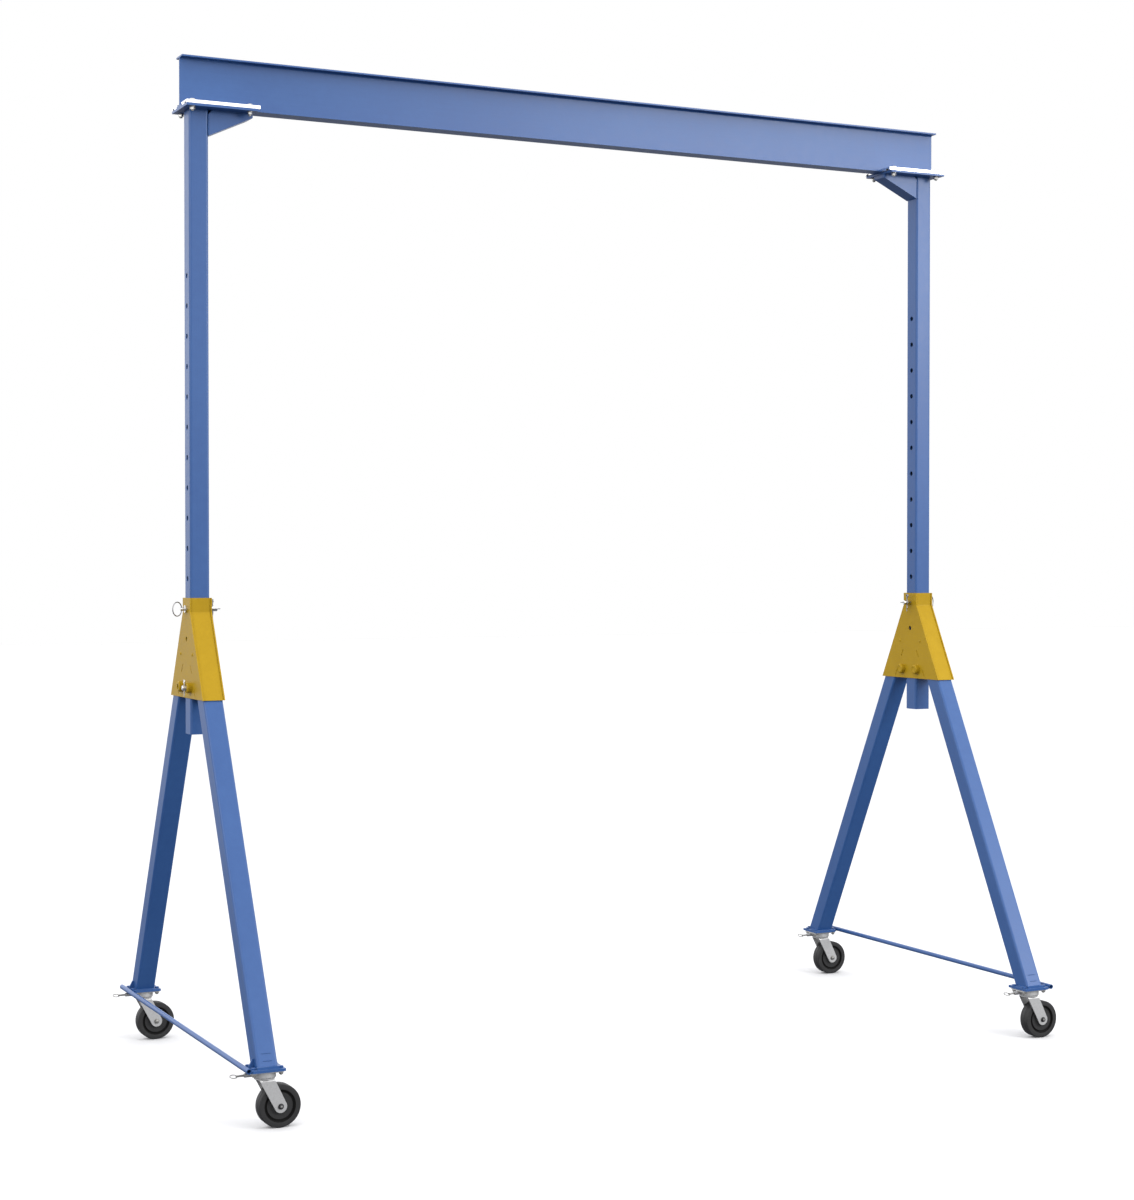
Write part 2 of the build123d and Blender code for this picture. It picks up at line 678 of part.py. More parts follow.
notch = block(-race_radius, notch_end, -notch_half, notch_half, lock_height - notch_half, caster_height)
for turn in range(4):
    fork -= Rot(0, 0, 90 * turn) * notch
fork -= rod(axle_radius + axle_play, (caster_lead, -2 * fork_outer, wheel_radius), 2 * fork_outer, "y")

# Axle: bolt through the fork, spacer sleeve between the legs, washers and a nut.
near_face = -fork_outer - axle_washer
far_face = fork_outer + axle_washer
bolt = rod(axle_radius, (caster_lead, near_face, wheel_radius), fork_outer + axle_end, "y")
bolt += hexagon(axle_flats, (caster_lead, near_face - axle_head, wheel_radius), near_face, "y")
sleeve = rod(sleeve_radius, (caster_lead, -fork_inner, wheel_radius), fork_inner, "y")
sleeve -= rod(axle_radius + sleeve_fit, (caster_lead, -fork_inner, wheel_radius), fork_inner, "y")
axle_nut = hexagon(axle_flats, (caster_lead, far_face, wheel_radius), far_face + axle_nut_height, "y")
axle_nut -= rod(axle_radius, (caster_lead, far_face, wheel_radius), far_face + axle_nut_height, "y")
axle_pieces = [bolt, sleeve, axle_nut]
for start, end in ((near_face, -fork_outer), (fork_outer, far_face)):
    washer = rod(axle_washer_radius, (caster_lead, start, wheel_radius), end, "y")
    axle_pieces.append(washer - rod(axle_radius, (caster_lead, start, wheel_radius), end, "y"))

# Wheel: moulded phenolic, with a ring groove in each face and a raised hub.
half_wheel = wheel_width / 2
bore = sleeve_radius + sleeve_fit
web_face = half_wheel - wheel_web_recess
groove_floor = half_wheel - wheel_groove_depth
wheel_outline = [
    (bore, half_wheel),
    (wheel_hub_radius, half_wheel),
    (wheel_hub_radius, web_face),
    (wheel_groove_inner, web_face),
    (wheel_groove_inner + wheel_groove_draft, groove_floor),
    (wheel_groove_outer - wheel_groove_draft, groove_floor),
    (wheel_groove_outer, half_wheel - wheel_groove_draft),
    (wheel_radius - wheel_shoulder, half_wheel),
]
shoulder_mid = wheel_shoulder * (1 - 0.5 ** 0.5)
upper = Polyline(*wheel_outline)
arc_top = ThreePointArc(
    (wheel_radius - wheel_shoulder, half_wheel),
    (wheel_radius - shoulder_mid, half_wheel - shoulder_mid),
    (wheel_radius, half_wheel - wheel_shoulder),
)
tread = Line((wheel_radius, half_wheel - wheel_shoulder), (wheel_radius, 0))
half_outline = Curve() + [upper, arc_top, tread]
whole_outline = half_outline + mirror(half_outline, about=Plane.XZ)
whole_outline += Line((bore, half_wheel), (bore, -half_wheel))
wheel_face = make_face(whole_outline.edges())
wheel = Pos(caster_lead, 0, wheel_radius) * revolve(wheel_face, Axis.Y)

# Swivel lock: spring plunger in a tube on the housing, with a pull ring.
lock_tube = rod(lock_tube_radius, (tube_inner - lock_tube_length, 0, lock_height), tube_inner, "x")
lock_tube -= rod(lock_radius + lock_fit, (tube_inner - lock_tube_length, 0, lock_height), tube_inner, "x")
ring_centre = -lock_reach + lock_ring_radius + lock_ring_wire
plunger_hole = ring_centre + lock_ring_radius
plunger_tip = -hub_radius - lock_tip_gap
plunger = rod(lock_radius, (plunger_hole - lock_end_margin, 0, lock_height), plunger_tip, "x")
ring_tilt = Rot(lock_ring_tilt, 0, 0)
ring_bore = rod(lock_ring_hole, (0, -lock_tube_radius, 0), lock_tube_radius, "y")
plunger -= Pos(plunger_hole, 0, lock_height) * ring_tilt * ring_bore
lock_ring = Pos(ring_centre, 0, lock_height) * ring_tilt * Torus(lock_ring_radius, lock_ring_wire)

# Caster bolts: from the foot plate down, with a nut under the mounting plate.
caster_bolts = []
for bolt_x in (-caster_bolt_x / 2, caster_bolt_x / 2):
    for bolt_y in (-caster_bolt_y / 2, caster_bolt_y / 2):
        caster_bolt = rod(caster_bolt_radius, (bolt_x, bolt_y, plate_bottom - caster_bolt_end), foot_top, "z")
        head_top_z = foot_top + caster_bolt_head
        caster_bolt += hexagon(caster_bolt_flats, (bolt_x, bolt_y, foot_top), head_top_z, "z")
        nut = hexagon(caster_bolt_flats, (bolt_x, bolt_y, plate_bottom - caster_nut), plate_bottom, "z")
        nut -= rod(caster_bolt_radius, (bolt_x, bolt_y, plate_bottom - caster_nut), plate_bottom, "z")
        caster_bolts += [caster_bolt, nut]

# ==== four casters ====
all_balls = []
all_bolts = []
all_tubes = []
for side, x in (("left", -post_x), ("right", post_x)):
    for end, y in (("front", -foot_y), ("rear", foot_y)):
        place = Pos(x, y, 0)
        save(f"caster_plate_{side}_{end}", [place * mount_plate, place * kingpin])
        save(f"fork_{side}_{end}", place * fork)
        save(f"axle_{side}_{end}", [place * piece for piece in axle_pieces])
        save(f"wheel_{side}_{end}", place * wheel)
        save(f"lock_plunger_{side}_{end}", [place * plunger, place * lock_ring])
        all_balls += [place * ball for ball in balls]
        all_bolts += [place * piece for piece in caster_bolts]
        all_tubes.append(place * lock_tube)
save("swivel_balls", all_balls)
save("caster_bolts", all_bolts)
save("lock_tubes", all_tubes)
print(len(nodes), "nodes")
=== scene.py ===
from math import cos, pi, radians, sin, tan

import bmesh
import bpy
from mathutils import Matrix, Vector


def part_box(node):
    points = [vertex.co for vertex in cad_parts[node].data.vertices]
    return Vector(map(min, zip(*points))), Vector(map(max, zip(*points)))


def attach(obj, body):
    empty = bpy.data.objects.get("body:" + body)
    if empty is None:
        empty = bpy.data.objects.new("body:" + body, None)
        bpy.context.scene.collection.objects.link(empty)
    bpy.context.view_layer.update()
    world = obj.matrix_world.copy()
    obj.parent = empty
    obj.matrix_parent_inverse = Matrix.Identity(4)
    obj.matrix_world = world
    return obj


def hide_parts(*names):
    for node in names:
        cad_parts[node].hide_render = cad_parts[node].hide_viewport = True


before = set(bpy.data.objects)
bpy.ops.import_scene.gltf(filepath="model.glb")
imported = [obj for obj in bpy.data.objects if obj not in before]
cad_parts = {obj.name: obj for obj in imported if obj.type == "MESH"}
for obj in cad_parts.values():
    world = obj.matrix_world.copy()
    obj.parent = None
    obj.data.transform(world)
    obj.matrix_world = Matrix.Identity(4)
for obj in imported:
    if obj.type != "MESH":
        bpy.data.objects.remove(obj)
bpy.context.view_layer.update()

# ==== ROOM ====
# A plain pale floor under a soft white studio sky. The sky is darker below the horizon, so
# undersides stay deep. The floor is seen by the camera and catches shadows, but throws no light.


class Wire:
    """One output of a node, ready for sums such as 1 - mask or 0.3 + 0.1 * speckle."""

    def __init__(self, graph, socket):
        self.graph = graph
        self.socket = socket

    def sum(self, operation, first, second):
        return self.graph.add("ShaderNodeMath", {"operation": operation}, {0: first, 1: second})[0]

    def __add__(self, other):
        return self.sum("ADD", self, other)

    def __radd__(self, other):
        return self.sum("ADD", other, self)

    def __sub__(self, other):
        return self.sum("SUBTRACT", self, other)

    def __rsub__(self, other):
        return self.sum("SUBTRACT", other, self)

    def __mul__(self, other):
        return self.sum("MULTIPLY", self, other)

    def __rmul__(self, other):
        return self.sum("MULTIPLY", other, self)

    def __pow__(self, other):
        return self.sum("POWER", self, other)

    def bound(self, low, high):
        """0 below low, 1 above high, and a smooth step between them."""
        settings = {"interpolation_type": "SMOOTHSTEP"}
        sockets = {"Value": self, "From Min": low, "From Max": high}
        return self.graph.add("ShaderNodeMapRange", settings, sockets)["Result"]


class Made:
    """The outputs of one node, by name or by number."""

    def __init__(self, graph, node):
        self.graph = graph
        self.node = node

    def __getitem__(self, key):
        return Wire(self.graph, self.node.outputs[key])


class Graph:
    """A node tree of any kind, filled one node at a time."""

    def __init__(self, tree):
        self.tree = tree

    def add(self, kind, settings=None, sockets=None):
        """A node of this kind: its settings are set first, then its sockets, as values or wires."""
        node = self.tree.nodes.new(kind)
        for key, value in (settings or {}).items():
            setattr(node, key, value)
        for key, value in (sockets or {}).items():
            if isinstance(value, Wire):
                self.tree.links.new(value.socket, node.inputs[key])
            else:
                node.inputs[key].default_value = value
        return Made(self, node)

    def colour(self, amount, first, second):
        """A colour between two others."""
        sockets = {0: amount, 6: first, 7: second}
        return self.add("ShaderNodeMix", {"data_type": "RGBA"}, sockets)[2]

    def noise(self, place, scale, detail=2.0, roughness=0.5):
        sockets = {"Vector": place, "Scale": scale, "Detail": detail, "Roughness": roughness}
        return self.add("ShaderNodeTexNoise", None, sockets)["Fac"]


def shade(red, green, blue):
    return (red, green, blue, 1.0)


sky_high = shade(1.86, 1.86, 1.90)
sky_low = shade(0.27, 0.28, 0.31)
backdrop = shade(1.0, 1.0, 1.0)
world = bpy.data.worlds.new("studio")
world.use_nodes = True
world.node_tree.nodes.clear()
sky = Graph(world.node_tree)
direction = sky.add("ShaderNodeTexCoord")["Generated"]
height = sky.add("ShaderNodeSeparateXYZ", None, {0: direction})["Z"]
seen = sky.add("ShaderNodeLightPath")["Is Camera Ray"]
dome = sky.colour(height.bound(-0.22, 0.12), sky_low, sky_high)
glow = sky.add("ShaderNodeBackground", None, {"Color": sky.colour(seen, dome, backdrop)})
sky.add("ShaderNodeOutputWorld", None, {"Surface": glow["Background"]})
bpy.context.scene.world = world
bpy.context.scene.view_settings.view_transform = "Standard"

floor_reach = 60.0
floor_drop = 0.0005
floor_mesh = bpy.data.meshes.new("floor")
floor_points = [
    (hand_x * floor_reach, hand_y * floor_reach, -floor_drop)
    for hand_x, hand_y in ((-1, -1), (1, -1), (1, 1), (-1, 1))
]
floor_mesh.from_pydata(floor_points, [], [(0, 1, 2, 3)])
floor = bpy.data.objects.new("floor", floor_mesh)
bpy.context.scene.collection.objects.link(floor)
floor.visible_diffuse = False
floor.visible_glossy = False


class Finish(Graph):
    """A material that ends in one shader."""

    def __init__(self, name):
        self.material = bpy.data.materials.new(name)
        self.material.use_nodes = True
        self.material.node_tree.nodes.clear()
        super().__init__(self.material.node_tree)
        self.place = self.add("ShaderNodeTexCoord")["Object"]

    def coat(self, **sockets):
        """The finished material, from its shader's sockets, with _ for the spaces in their names."""
        named = {key.replace("_", " "): value for key, value in sockets.items()}
        shader = self.add("ShaderNodeBsdfPrincipled", None, named)
        self.add("ShaderNodeOutputMaterial", None, {"Surface": shader["BSDF"]})
        return self.material


painted_floor = Finish("pale_floor")
tone = painted_floor.noise(painted_floor.place, 0.35, 3.0)
floor_mesh.materials.append(painted_floor.coat(
    Base_Color=painted_floor.colour(tone, shade(0.565, 0.565, 0.565), shade(0.58, 0.58, 0.58)),
    Roughness=0.9,
    Specular_IOR_Level=0.0,
))


def soft_box(name, place, aim, width, height, watts):
    """A large softened lamp that faces a point."""
    lamp = bpy.data.lights.new(name, "AREA")
    lamp.shape = "RECTANGLE"
    lamp.size = width
    lamp.size_y = height
    lamp.energy = watts
    holder = bpy.data.objects.new(name, lamp)
    holder.location = place
    holder.visible_camera = False
    holder.rotation_euler = (Vector(aim) - Vector(place)).to_track_quat("-Z", "Y").to_euler()
    bpy.context.scene.collection.objects.link(holder)


soft_box("front_right_box", (6.5, -9.5, 5.9), (0.9, 0, 5.1), 6.0, 2.6, 800)
soft_box("left_box", (-8.5, -3.5, 6.8), (-0.8, 0, 5.2), 5.0, 2.5, 210)
soft_box("top_box", (0, -2.5, 11.0), (0, 0, 4.6), 7.0, 5.0, 90)

camera_lens = 65.6
camera_pitch = radians(-0.922)
camera_yaw = radians(26.143)
camera_data = bpy.data.cameras.new("camera")
camera_data.lens = camera_lens
camera = bpy.data.objects.new("camera", camera_data)
camera.location = (-5.3886, -10.7334, 2.6095)
camera.rotation_euler = (pi / 2 + camera_pitch, 0, -camera_yaw)
bpy.context.scene.collection.objects.link(camera)
bpy.context.scene.camera = camera

# ==== FEET AND LEGS ====
# Thick plates under square steel tubes, welded all round and enamelled blue after welding.
# The plates and tubes are the CAD's own; the weld beads, ripples and all, are laid on them here.


def rounded(finish, radius):
    """The surface's direction with its sharp edges softened."""
    return finish.add("ShaderNodeBevel", {"samples": 4}, {"Radius": radius})["Normal"]


cloud_scale = 1.7
mottle_scale = 23.0
peel_scale = 330.0
dust_scale = 9.0
dust_share = 0.12
dust_colour = shade(0.34, 0.33, 0.31)
enamel_edge = 0.0012


def enamel(name, deep, light, grain, gleam=0.36, extra=None):
    """Sprayed enamel over steel: cloudy colour, orange peel, rolling grain and a trace of dust on top."""
    paint = Finish(name)
    clouds = paint.noise(paint.place, cloud_scale, 3.0)
    mottle = paint.noise(paint.place, mottle_scale, 4.0, 0.6)
    peel = paint.noise(paint.place, peel_scale, 2.0)
    stretched = paint.add("ShaderNodeMapping", None, {"Vector": paint.place, "Scale": grain})["Vector"]
    streaks = paint.noise(stretched, 1.0, 4.0, 0.6)
    facing = paint.add("ShaderNodeNewGeometry")["Normal"]
    upward = paint.add("ShaderNodeSeparateXYZ", None, {0: facing})["Z"].bound(0.75, 1.0)
    dust = upward * paint.noise(paint.place, dust_scale, 5.0, 0.7).bound(0.42, 0.75)
    body = 0.45 * clouds + 0.3 * mottle + 0.25 * streaks
    coloured = paint.colour(body.bound(0.3, 0.7), deep, light)
    dusty = paint.colour(dust_share * dust, coloured, dust_colour)
    gloss = 0.30 + 0.10 * mottle + 0.05 * streaks + 0.2 * dust
    relief = 0.000035 * peel + 0.00012 * mottle + 0.00006 * streaks
    metal = 0.0
    if extra:
        dusty, gloss, metal = extra(paint, dusty, gloss)
    bump = {"Strength": 0.75, "Distance": 1.0, "Height": relief, "Normal": rounded(paint, enamel_edge)}
    return paint.coat(
        Base_Color=dusty,
        Roughness=gloss,
        Metallic=metal,
        Specular_IOR_Level=gleam,
        Normal=paint.add("ShaderNodeBump", None, bump)["Normal"],
    )


blue_deep = shade(0.0165, 0.062, 0.196)
blue_light = shade(0.0220, 0.075, 0.220)
upright_grain = (170.0, 170.0, 6.0)
level_grain = (6.0, 170.0, 170.0)
blue = enamel("blue_enamel", blue_deep, blue_light, upright_grain)


def finish_node(material, *names):
    """Gives CAD nodes a material."""
    for name in names:
        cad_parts[name].data.materials[0] = material


sides = ("left", "right")
ends = ("front", "rear")
corners = [(side, end) for side in sides for end in ends]
for side, end in corners:
    finish_node(blue, f"leg_{side}_{end}", f"foot_{side}_{end}")
finish_node(blue, *[f"tie_tube_{side}" for side in sides])


def piece(name, mesh, material, body, slot, *stands_for):
    """A finished mesh as a piece of the crane, riding on a body and perhaps standing for CAD nodes."""
    if material:
        mesh.materials.clear()
        mesh.materials.append(material)
    made = bpy.data.objects.new(name, mesh)
    bpy.context.scene.collection.objects.link(made)
    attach(made, body)
    if stands_for:
        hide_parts(*stands_for)


def grown(source, tree, sizes):
    """The plain mesh that a Geometry Nodes tree makes of a source mesh."""
    holder = bpy.data.objects.new("source", source)
    bpy.context.scene.collection.objects.link(holder)
    modifier = holder.modifiers.new("grow", "NODES")
    modifier.node_group = tree
    for item in tree.interface.items_tree:
        if item.name in sizes:
            modifier[item.identifier] = sizes[item.name]
    evaluated = holder.evaluated_get(bpy.context.evaluated_depsgraph_get())
    mesh = bpy.data.meshes.new_from_object(evaluated)
    holder.modifiers.remove(modifier)
    bpy.data.objects.remove(holder)
    return mesh


def tree_with(name, inputs):
    """An empty Geometry Nodes tree with named inputs, as a graph and the wires of its inputs."""
    tree = bpy.data.node_groups.new(name, "GeometryNodeTree")
    tree.interface.new_socket(name="Geometry", in_out="OUTPUT", socket_type="NodeSocketGeometry")
    tree.interface.new_socket(name="Geometry", in_out="INPUT", socket_type="NodeSocketGeometry")
    for label, kind in inputs.items():
        tree.interface.new_socket(name=label, in_out="INPUT", socket_type=f"NodeSocket{kind}")
    graph = Graph(tree)
    return graph, graph.add("NodeGroupInput")


def close_tree(graph, instances, material):
    """Ends a tree: real geometry, smooth, with its material."""
    real = graph.add("GeometryNodeRealizeInstances", None, {"Geometry": instances})["Geometry"]
    softened = graph.add("GeometryNodeSetShadeSmooth", None, {"Geometry": real})["Geometry"]
    sockets = {"Geometry": softened, "Material": material}
    coated = graph.add("GeometryNodeSetMaterial", None, sockets)["Geometry"]
    graph.add("NodeGroupOutput", None, {"Geometry": coated})


weld, given = tree_with("weld_bead", {
    "Bead": "Float", "Pitch": "Float", "Seed": "Int", "Material": "Material",
})
run = weld.add("GeometryNodeMeshToCurve", None, {"Mesh": given["Geometry"]})["Curve"]
steps = weld.add("GeometryNodeResampleCurve", {"mode": "LENGTH"}, {"Curve": run, "Length": given["Pitch"]})
along = weld.add("GeometryNodeInputTangent")["Tangent"]
turned = weld.add("FunctionNodeAlignRotationToVector", {"axis": "Z"}, {"Vector": along})["Rotation"]
drop = weld.add("GeometryNodeMeshUVSphere", None, {"Segments": 8, "Rings": 5, "Radius": given["Bead"]})
wobble = weld.add("FunctionNodeRandomValue", None, {2: 0.86, 3: 1.08, "Seed": given["Seed"]})[1]
stretch = weld.add("ShaderNodeCombineXYZ", None, {"X": wobble, "Y": wobble, "Z": 0.62})["Vector"]
drops = weld.add("GeometryNodeInstanceOnPoints", None, {
    "Points": steps["Curve"], "Instance": drop["Mesh"], "Rotation": turned, "Scale": stretch,
})
close_tree(weld, drops["Instances"], given["Material"])


bead_pitch_share = 0.62


def weld_piece(name, runs, bead, material, body, slot, seed=1):
    """Weld beads along runs of points, as one piece."""
    points = [point for run in runs for point in run]
    edges = []
    start = 0
    for run in runs:
        edges += [(start + step, start + step + 1) for step in range(len(run) - 1)]
        start += len(run)
    source = bpy.data.meshes.new(name)
    source.from_pydata(points, edges, [])
    sizes = {"Bead": bead, "Pitch": bead_pitch_share * bead, "Seed": seed, "Material": material}
    piece(name, grown(source, weld.tree, sizes), None, body, slot)


def rounded_loop(x, y, z, half_x, half_y, corner, steps=5):
    """A closed level loop with rounded corners."""
    loop = []
    for quarter in range(4):
        sign_x = 1 if quarter in (0, 3) else -1
        sign_y = 1 if quarter < 2 else -1
        for step in range(steps + 1):
            turn = (quarter + step / steps) * pi / 2
            centre = (x + sign_x * (half_x - corner), y + sign_y * (half_y - corner))
            loop.append((centre[0] + corner * cos(turn), centre[1] + corner * sin(turn), z))
    return loop + loop[:1]


foot_bead = 0.0042
toe_bead = 0.0022
leg_lean = radians(27)
leg_half = 0.0508
leg_corner = 0.0127
leg_slice = leg_half / cos(leg_lean)
foot_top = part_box("leg_right_rear")[0].z
foot_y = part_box("leg_right_rear")[1].y - leg_slice
post_x = sum(corner.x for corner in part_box("post_right")) / 2
gusset_run = 0.027
gusset_half = 0.0034
toe_heights = (0.034, 0.066)
toe_half = 0.021
for number, (side, end) in enumerate(corners):
    out = 1 if side == "right" else -1
    away = 1 if end == "rear" else -1
    x = out * post_x
    y = away * foot_y
    runs = [rounded_loop(x, y, foot_top, leg_half, leg_slice, leg_corner)]
    for hand in (-1, 1):
        seam_y = y + hand * gusset_half
        near = (x + out * leg_half, seam_y, foot_top)
        far = (x + out * (leg_half + gusset_run), seam_y, foot_top)
        runs.append([near, far])
    weld_piece(f"foot_weld_{side}_{end}", runs, foot_bead, blue, "a_frames", "beam_paint", number)
    dashes = []
    for rise in toe_heights:
        face_y = away * (foot_y + leg_slice - tan(leg_lean) * rise)
        level = foot_top + rise
        dashes.append([(x - toe_half, face_y, level), (x + toe_half, face_y, level)])
    weld_piece(f"leg_toe_weld_{side}_{end}", dashes, toe_bead, blue, "a_frames", "beam_paint", number + 4)

# ==== HEADS ====
# Cut and folded steel plates that grip two legs and guide a post, stitch welded and enamelled yellow.
# Button screws hold the legs, and short turned bosses on both faces keep the spare pins.

yellow_deep = shade(0.292, 0.180, 0.0075)
yellow_light = shade(0.338, 0.213, 0.0100)
yellow_grain = (150.0, 150.0, 9.0)
yellow_gleam = 0.08
yellow = enamel("yellow_enamel", yellow_deep, yellow_light, yellow_grain, yellow_gleam)
for side in sides:
    finish_node(yellow, f"head_sides_{side}", f"head_covers_{side}", f"leg_sockets_{side}")
finish_node(yellow, "storage_bosses")

collar_y = 0.05775
stitch = 0.045
stitches = 4
stitch_margin = 0.012
head_bead = 0.0030
for number, side in enumerate(sides):
    low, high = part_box(f"head_covers_{side}")
    bend_z = low.z + (high.y - collar_y) / tan(leg_lean)
    slope = Vector((0, collar_y - high.y, bend_z - low.z))
    runs = []
    for face_x in (low.x, high.x):
        for hand in (-1, 1):
            for turn in range(stitches):
                start = Vector((0, high.y, low.z)) + slope * ((turn + 0.25) / stitches)
                finish = start + slope.normalized() * stitch
                runs.append([(face_x, hand * point.y, point.z) for point in (start, finish)])
            levels = (bend_z + stitch_margin, high.z - stitch_margin)
            runs.append([(face_x, hand * collar_y, level) for level in levels])
    weld_piece(f"head_weld_{side}", runs, head_bead, yellow, "a_frames", "head_paint", number + 20)


def lathe(outline, segments=32, closed=False):
    """A turned mesh about Z from (radius, height) points, closed by ends at radius 0 or as a ring."""
    shape = bmesh.new()
    rings = []
    for radius, level in outline:
        if radius < 1e-6:
            rings.append([shape.verts.new((0, 0, level))])
            continue
        turns = [2 * pi * step / segments for step in range(segments)]
        rings.append([shape.verts.new((radius * cos(turn), radius * sin(turn), level)) for turn in turns])
    if closed:
        rings.append(rings[0])
    for lower, upper in zip(rings, rings[1:]):
        for step in range(segments):
            after = (step + 1) % segments
            below = [lower[step % len(lower)], lower[after % len(lower)]]
            above = [upper[after % len(upper)], upper[step % len(upper)]]
            face = list(dict.fromkeys(below + above))
            if len(face) > 2:
                shape.faces.new(face)
    bmesh.ops.recalc_face_normals(shape, faces=shape.faces)
    return shape


def join(*shapes):
    """Several bmesh shapes as one mesh, smooth but for its sharp edges."""
    mesh = bpy.data.meshes.new("joined")
    whole = bmesh.new()
    for shape in shapes:
        part = bpy.data.meshes.new("part")
        shape.to_mesh(part)
        whole.from_mesh(part)
        shape.free()
        bpy.data.meshes.remove(part)
    whole.to_mesh(mesh)
    whole.free()
    smooth(mesh)
    return mesh


def smooth(mesh, angle=34):
    """Smooth shading that keeps edges sharper than an angle."""
    mesh.polygons.foreach_set("use_smooth", [True] * len(mesh.polygons))
    mesh.set_sharp_from_angle(angle=radians(angle))


bloom_scale = 31.0
scratch_scale = 900.0
bloom_colour = shade(0.30, 0.29, 0.27)
plated_edge = 0.0007


def zinc(name, tint, base_gloss, spangle, tarnish):
    """Bright zinc plate: faint crystals, fine scratches and a little dull bloom."""
    plate = Finish(name)
    cells = plate.add("ShaderNodeTexVoronoi", None, {"Vector": plate.place, "Scale": spangle})["Color"]
    crystal = plate.add("ShaderNodeSeparateColor", None, {0: cells})["Red"]
    bloom = plate.noise(plate.place, bloom_scale, 5.0, 0.65).bound(0.45, 0.8)
    fine = plate.noise(plate.place, scratch_scale, 2.0)
    deeper = shade(*[0.8 * part for part in tint])
    shine = plate.colour(0.35 * crystal + 0.2 * fine, shade(*tint), deeper)
    dulled = plate.colour(tarnish * bloom, shine, bloom_colour)
    gloss = base_gloss + 0.10 * crystal + 0.06 * fine + 0.15 * bloom
    relief = {
        "Strength": 0.5, "Distance": 1.0,
        "Height": 0.00002 * crystal + 0.00001 * fine, "Normal": rounded(plate, plated_edge),
    }
    return plate.coat(
        Base_Color=dulled, Roughness=gloss, Metallic=1.0,
        Normal=plate.add("ShaderNodeBump", None, relief)["Normal"],
    )


bolt_zinc = zinc("bolt_zinc", (0.52, 0.515, 0.49), 0.24, 240.0, 0.35)

# Screws, nuts and bolts are set out on points, each turned about its own axis by chance.
setting, given = tree_with("fasteners", {
    "Part": "Object", "Turn": "Float", "Seed": "Int", "Material": "Material",
})
part = setting.add("GeometryNodeObjectInfo", {"transform_space": "ORIGINAL"}, {"Object": given["Part"]})
facing = setting.add("GeometryNodeInputNamedAttribute", {"data_type": "FLOAT_VECTOR"}, {"Name": "facing"})
aimed = setting.add("FunctionNodeAlignRotationToVector", {"axis": "Z"}, {"Vector": facing[0]})["Rotation"]
chance = setting.add("FunctionNodeRandomValue", None, {2: 0.0, 3: given["Turn"], "Seed": given["Seed"]})[1]
spin = setting.add("FunctionNodeAxisAngleToRotation", None, {"Axis": (0, 0, 1), "Angle": chance})["Rotation"]
spun = setting.add("FunctionNodeRotateRotation", {"rotation_space": "LOCAL"}, {
    "Rotation": aimed, "Rotate By": spin,
})["Rotation"]
set_out = setting.add("GeometryNodeInstanceOnPoints", None, {
    "Points": given["Geometry"], "Instance": part["Geometry"], "Rotation": spun,
})
real = setting.add("GeometryNodeRealizeInstances", None, {"Geometry": set_out["Instances"]})["Geometry"]
coated = setting.add("GeometryNodeSetMaterial", None, {"Geometry": real, "Material": given["Material"]})
setting.add("NodeGroupOutput", None, {"Geometry": coated["Geometry"]})


def fastener_mesh(pattern, places, facings, material, seed=1):
    """Copies of a pattern mesh at places, with its Z turned to each facing."""
    master = bpy.data.objects.new("pattern", pattern)
    bpy.context.scene.collection.objects.link(master)
    source = bpy.data.meshes.new("places")
    source.from_pydata([tuple(place) for place in places], [], [])
    aim = source.attributes.new("facing", "FLOAT_VECTOR", "POINT")
    aim.data.foreach_set("vector", [part for facing in facings for part in facing])
    mesh = grown(source, setting.tree, {"Part": master, "Turn": 2 * pi, "Seed": seed, "Material": material})
    bpy.data.objects.remove(master)
    return mesh


chamfer_share = 0.475
chamfer_angle = radians(30)


def hexagon(flats, low, high, chamfer_low=True, chamfer_high=True, segments=48):
    """A hexagonal nut or head whose corners are turned off."""
    circle = chamfer_share * flats
    outline = []
    for step in range(segments):
        turn = 2 * pi * step / segments
        outline.append((turn, flats / 2 / cos((turn + pi / 6) % (pi / 3) - pi / 6)))
    shape = bmesh.new()
    rings = []
    for level, sign, cut in ((low, 1, chamfer_low), (high, -1, chamfer_high)):
        end_ring = []
        side_ring = []
        for turn, radius in outline:
            fall = (radius - circle) * tan(chamfer_angle) if cut else 0.0
            end_radius = circle if cut else radius
            side_level = level + sign * fall
            end_ring.append(shape.verts.new((end_radius * cos(turn), end_radius * sin(turn), level)))
            side_ring.append(shape.verts.new((radius * cos(turn), radius * sin(turn), side_level)))
        rings += [end_ring, side_ring] if sign > 0 else [side_ring, end_ring]
    for lower, upper in zip(rings, rings[1:]):
        for step in range(segments):
            after = (step + 1) % segments
            shape.faces.new((lower[step], lower[after], upper[after], upper[step]))
    shape.faces.new(rings[0][::-1])
    shape.faces.new(rings[-1])
    bmesh.ops.remove_doubles(shape, verts=shape.verts, dist=1e-6)
    bmesh.ops.recalc_face_normals(shape, faces=shape.faces)
    return shape


def washer_ring(radius, low, high):
    """A flat washer with eased edges, on a solid core."""
    ease = 0.0003
    return lathe([
        (0, low), (radius - ease, low), (radius, low + ease),
        (radius, high - ease), (radius - ease, high), (0, high),
    ])


def disc(radius, low, high):
    """A plain turned disc or rod."""
    return lathe([(0, low), (radius, low), (radius, high), (0, high)])


def threaded(radius, low, high, pitch, segments=24):
    """A screw thread's outline, as turned grooves."""
    outline = [(0, low), (radius - 0.6 * pitch, low)]
    turns = int((high - low) / pitch)
    for turn in range(turns):
        level = low + (turn + 0.5) * pitch
        outline += [(radius, level), (radius - 0.55 * pitch, level + 0.5 * pitch)]
    outline += [(radius - 0.55 * pitch, high), (0, high)]
    return lathe(outline, segments)


